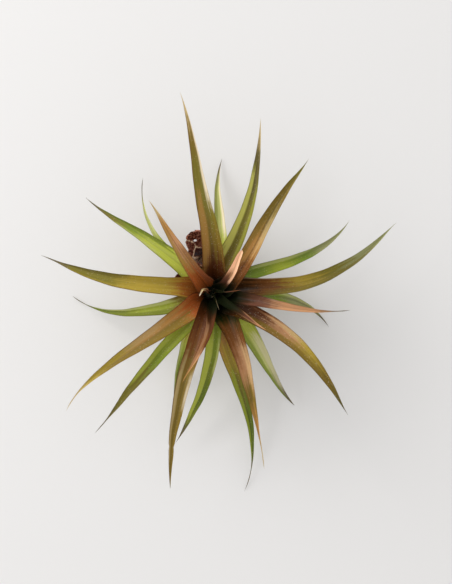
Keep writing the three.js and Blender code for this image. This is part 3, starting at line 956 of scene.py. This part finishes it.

# %% [markdown]
# One row below paints one leaf, from the lowest to the innermost. The outer ones are green, and the inner
# ones go from umber and ember to gold and bronze. Pale or dark halves are partly their own colour and partly
# painted light: pale strips of painted highlight, and darker halves of painted shade.

# %% Each leaf's paints
LEAF_PAINTS = [
    dict(paints="green green spring pear pear thread", margin=("thread", 0.6)),
    dict(paints="moss grass green sage sage thread", left=("pear", 0.6, 0.3, 0.4, 0.9)),
    dict(paints="bronze spring spring moss fern thread", right=("pear", 0.8, 0.3, 0.12, 0.9),
         left=("moss", 1.0, 0.15, 0.1, 0.9), fold=(0, 0.5, 0.15)),
    dict(paints="tan gold olive fern fern thread", right=("spring", 0.9, 0.1, 0.3, 0.9),
         left=("fern", 0.8, 0.2, 0.4, 0.8)),
    dict(paints="moss lime pear pear pear thread", right=("cream", 0.85, 0.25, 0.3, 0.98),
         left=("moss", 0.7, 0.15, 0.2, 0.9)),
    dict(paints="spring lime pear pear sage thread", right=("green", 0.85, 0.3, 0.15, 0.98),
         left=("cream", 0.45, -0.15, 0.3, 0.9), fold=(0.0, 0.3, 0.0)),
    dict(paints="moss gold lime green moss thread", right=("pear", 0.7, 0.3, 0.3, 0.9),
         fold=(0, 0.3, 0.15)),
    dict(paints="grass grass spring grass sage sage", left=("pear", 0.6, 0.3, 0.2, 0.7),
         fold=(0, 0.3, 0.1)),
    dict(paints="green green moss fern moss thread", right=("lime", 1.0, 0.0, 0.12, 0.9),
         left=("pear", 0.8, 0.4, 0.15, 0.5), fold=(-0.1, 0.5, 0.2)),
    dict(paints="lime lime lime green olive thread", right=("fern", 0.85, 0.25, 0.25, 0.95),
         left=("pear", 0.5, 0.4, 0.3, 0.8)),
    dict(paints="bronze olive olive drab drab straw", right=("lime", 0.4, 0.3, 0.1, 0.7),
         left=("apple", 0.9, 0.1, 0.12, 0.76), fold=(0.05, 0.4, 0.2)),
    dict(paints="spring spring green olive olive thread", right=("lime", 0.9, 0.2, 0.25, 0.7),
         left=("drab", 0.7, 0.3, 0.42, 0.9), fold=(-0.1, 0.5, 0.15)),
    dict(paints="rust gold gold olive olive thread", right=("drab", 0.6, 0.15, 0.42, 1.0),
         left=("gold", 0.6, 0.6, 0.1, 0.9), fold=(0.2, 0.4, 0.15), dark=5.2),
    dict(paints="umber chestnut gold olive sage sage", right=("drab", 0.7, 0.1, 0.2, 0.9),
         left=("cream", 1.0, 0.8, 0.1, 0.45), margin=("umber", 0.1), dark=5, dust=0.3),
    dict(paints="deep chestnut salmon bronze tan straw", right=("chestnut", 0.6, 0.1, 0.2, 0.52),
         left=("straw", 0.45, 0.15, 0.28, 0.58), dark=7.5, dust=0.3),
    dict(paints="ember tan tan gold gold straw", right=("straw", 0.4, 0.0, 0.28, 0.62),
         left=("bronze", 0.95, -0.1, 0.12, 0.75), fold=(-0.1, 0.3, 0.12), margin=("oxblood", 0.8),
         dark=5.2),
    dict(paints="oxblood bronze olive olive bronze straw", right=("cream", 0.9, 0.25, 0.42, 0.97),
         left=("tan", 0.7, 0.1, 0.1, 0.55), fold=(0.1, 0.45, 0.2), margin=("chestnut", 0.85), dark=5),
    dict(paints="umber oxblood salmon gold bronze drab", right=("bronze", 0.85, 0.1, 0.2, 0.9),
         left=("straw", 0.5, 0.2, 0.36, 0.62), dark=6.5, dust=0.8),
    dict(paints="oxblood chestnut bronze bronze bronze bronze", right=("straw", 0.6, 0.4, 0.3, 0.92),
         left=("cream", 0.55, 0.3, 0.4, 0.68), fold=(0, 0.3, 0.2), margin=("oxblood", 0.8), dark=6,
         dust=0.25),
    dict(paints="heart umber mauve salmon salmon thread", right=("mauve", 0.8, 0.3, 0.32, 0.56),
         left=("cream", 0.6, 0.6, 0.44, 0.58), dark=8, dust=0.2),
    dict(paints="ember ember tan salmon tan straw", right=("mauve", 0.55, 0.05, 0.05, 0.62),
         left=("gold", 0.5, 0.2, 0.34, 0.8), fold=(0, 0.15, 0.5), dark=3.6),
    dict(paints="heart umber oxblood rust salmon tan", right=("salmon", 0.8, 0.0, 0.36, 0.92),
         left=("oxblood", 0.95, 0.05, 0.25, 0.75), dark=6, dust=0.1),
    dict(paints="umber chestnut tan bronze bronze olive", right=("straw", 0.5, 0.1, 0.36, 0.7),
         left=("bronze", 0.7, 0.3, 0.2, 0.62), fold=(0.1, 0.14, 0.6), dark=5.5),
    dict(paints="heart heart bog umber mauve salmon", right=("salmon", 0.5, 0.55, 0.62, 0.97),
         left=("salmon", 0.5, 0.35, 0.62, 0.97), dark=8, dust=0, gloss=0.08),
    dict(paints="heart umber mauve salmon blush blush", right=("blush", 0.6, 0.1, 0.4, 0.95),
         left=("mauve", 0.8, 0.0, 0.2, 0.68), dark=4, dust=0, gloss=0.12),
]
paint_leaves(leaves, LEAF_PAINTS, "leaf_skin")

# %% [markdown]
# The young leaves sit so deep in the heart that all but their tips get its dark paint, partly their own dark
# green and partly painted shade. They are matt, without dust.

# %% The young leaves' paints
YOUNG_PAINTS = [
    dict(paints="heart umber mauve rose straw cream", dark=0.3, gloss=0.05),
    dict(paints="heart heart heart heart mauve rose", dark=0.5, gloss=0.05),
    dict(paints="heart heart heart heart bog thread", dark=0.5, gloss=0.05),
]
paint_leaves(young, YOUNG_PAINTS, "young_skin", YOUNG_SEED, dust=0)

# %% [markdown]
# ## Old brown tissue
#
# Dead stubs, stem and roots are one family too: a dark red-brown with pale tan on its raised rims, and
# painted shade inside its hollows, darker along the fibres and grey in cells of some tones. The paint reads
# the rims that the modelling left on the mesh, and adds fibres and crumbs that are too small to model. Where
# the stem reaches the crown it is alive and dark green.

# %% Old tissue group
FIBRES_PER_METRE = (900, 900, 260)
# where each begins and where it is complete
HOLLOW, GREY, PALE, RIM = (0.1, 0.55), (0.45, 0.75), (0.0, 0.08), (0.55, 0.8)
BROWN, PALE_CRUMBS, SPECKS, DARK_FIBRES = (0.36, 0.64), (0.44, 0.56), (0.58, 0.68), (0.42, 0.62)
PALE_TONES = 0.1  # cells with a tone below this are pale all over
SPECK_SHARE = 0.45
RIM_RAGGED = 0.5  # how much the crumbs eat into a painted rim
LIVING_FADE = 6 * MM
OLD_ROUGHNESS = (0.72, 0.95)
FIBRE_HEIGHT = 0.6

OLD_COLOURS = ("Dark", "Brown", "Rim")
OLD_VALUES = ("Rim share", "Grey share", "Crumb scale", "Living from")
old, given, result = new_group("old tissue", {"colours": OLD_COLOURS, "values": OLD_VALUES})
spot = wire(old, "TexCoord", out=3)
rim = wire(old, "Attribute", out=2, attribute_name="rim")
tone = wire(old, "Attribute", out=2, attribute_name="tone")
crumbs = {"Vector": spot, "Scale": given["Crumb scale"], "Detail": 5.0, "Roughness": 0.7}
crumb = wire(old, "TexNoise", crumbs)
long_spot = wire(old, "VectorMath", {0: spot, 1: FIBRES_PER_METRE}, operation="MULTIPLY")
fibre = wire(old, "TexNoise", {"Vector": long_spot, "Scale": 1.0, "Detail": 3.0})
# painted shade in the sunken hollows: grey in cells of some tones, and darker along the fibres
hollow_shade = reverse(old, step(old, rim, *HOLLOW))
colour = over(old, given["Dark"], given["Brown"], step(old, crumb, *BROWN))
colour = over(old, colour, PAINTS["slate"], step(old, tone, *GREY), given["Grey share"], hollow_shade)
colour = over(old, colour, given["Dark"], hollow_shade, step(old, fibre, *DARK_FIBRES))
pale = step(old, calc(old, "SUBTRACT", PALE_TONES, tone), *PALE)
colour = over(old, colour, given["Rim"], pale, step(old, crumb, *PALE_CRUMBS))
colour = over(old, colour, given["Rim"], step(old, crumb, *SPECKS), SPECK_SHARE)
ragged = calc(old, "ADD", rim, scaled(old, crumb, RIM_RAGGED, -RIM_RAGGED / 2))
colour = over(old, colour, given["Rim"], step(old, ragged, *RIM), given["Rim share"])
height_m = wire(old, "SeparateXYZ", {0: spot}).node.outputs["Z"]
living = step(old, height_m, given["Living from"], calc(old, "ADD", given["Living from"], LIVING_FADE))
put_out(old, result, {
    "Color": over(old, colour, PAINTS["heart"], living),
    "Roughness": spread(old, crumb, *NOISE_RANGE, *OLD_ROUGHNESS),
    "Height": calc(old, "ADD", crumb, times(old, fibre, FIBRE_HEIGHT)),
})

# %% [markdown]
# The lowest stub lies in the light, so it is redder and has paler rims than the others. The cork of the stem
# is duller, and the roots are the darkest and plainest of the four.

# %% Stub, cork and root finishes
OLD_BUMP = {"Strength": 0.82, "Distance": 0.4 * MM}
OLD_GLOSS = 0.2
NEVER_LIVING = 1.0  # metres: higher than any part of the plant


def old_material(name, colours, rim_share, grey_share, crumb_scale, living_from=NEVER_LIVING):
    """colours are the dark, the brown and the rim's. crumb_scale is in crumbs to the metre."""
    values = dict(zip(OLD_COLOURS, (paint(code) for code in colours.split())))
    values.update(zip(OLD_VALUES, (rim_share, grey_share, crumb_scale, living_from)))
    return material_of(name, old, values, OLD_BUMP, OLD_GLOSS)


stub_skin = old_material("dead_leaf", "#4a2218 #8c4c36 #dcb496", 0.85, 0.9, 900.0)
lowest_skin = old_material("lowest_dead_leaf", "#501e14 #c47e66 #ffe4c8", 1.0, 1.0, 1200.0)
cork = old_material("cork", "#2a1810 #5e4030 #94745a", 0.6, 0.4, 700.0, living_from=22 * MM)
root_skin = old_material("root_skin", "#2c1c14 #6a4c38 #8a6c54", 0.4, 0.2, 1500.0)
for piece in stubs:
    piece.data.materials.append(lowest_skin if piece == stubs[0] else stub_skin)
stem.data.materials.append(cork)
for root in roots:
    root.data.materials.append(root_skin)
print("materials:", len(bpy.data.materials))

# %% [markdown]
# ## Floor and light
#
# The plant lies on a plain, pale surface. A plane that reaches far beyond the picture is enough, and it is
# only a stage: it isn't part of the model.

# %% Floor
FLOOR_SIZE = 6
FLOOR_COLOUR, FLOOR_ROUGHNESS = "#dedcda", 0.7

bpy.ops.mesh.primitive_plane_add(size=FLOOR_SIZE, location=(0, 0, 0))
floor = bpy.context.object
floor.name = "floor"
floor_skin = bpy.data.materials.new("floor_paint")
floor_skin.use_nodes = True
floor_shader = floor_skin.node_tree.nodes["Principled BSDF"]
floor_shader.inputs["Base Color"].default_value = paint(FLOOR_COLOUR)
floor_shader.inputs["Roughness"].default_value = FLOOR_ROUGHNESS
floor.data.materials.append(floor_skin)
print("floor:", FLOOR_SIZE, "m wide")

# %% [markdown]
# The light is that of an overcast day: almost as bright from all sides, and a little brighter from a large
# window on the upper left. The sky alone would leave the leaves flat, and a small lamp would draw hard
# shadows. The plain view transform keeps the paints as they were mixed.

# %% Light
SKY = {"Color": (0.985, 0.99, 1.0, 1), "Strength": 0.82}
WINDOW = {"place": (-0.95, 0.55, 0.9), "aim": (0, 0, 0.03), "size": 1.1, "energy": 13}
world = bpy.data.worlds.new("studio")
bpy.context.scene.world = world
world.use_nodes = True
for key, value in SKY.items():
    world.node_tree.nodes["Background"].inputs[key].default_value = value
bpy.context.scene.view_settings.view_transform = "Standard"

bpy.ops.object.light_add(type="AREA", location=WINDOW["place"])
window = bpy.context.object
window.name = "window_light"
window.data.shape = "SQUARE"
window.data.size = WINDOW["size"]
window.data.energy = WINDOW["energy"]
window.rotation_euler = (Vector(WINDOW["aim"]) - window.location).to_track_quat("-Z", "Y").to_euler()
print("window", round(window.location.length, 2), "m away, sky strength", SKY["Strength"])
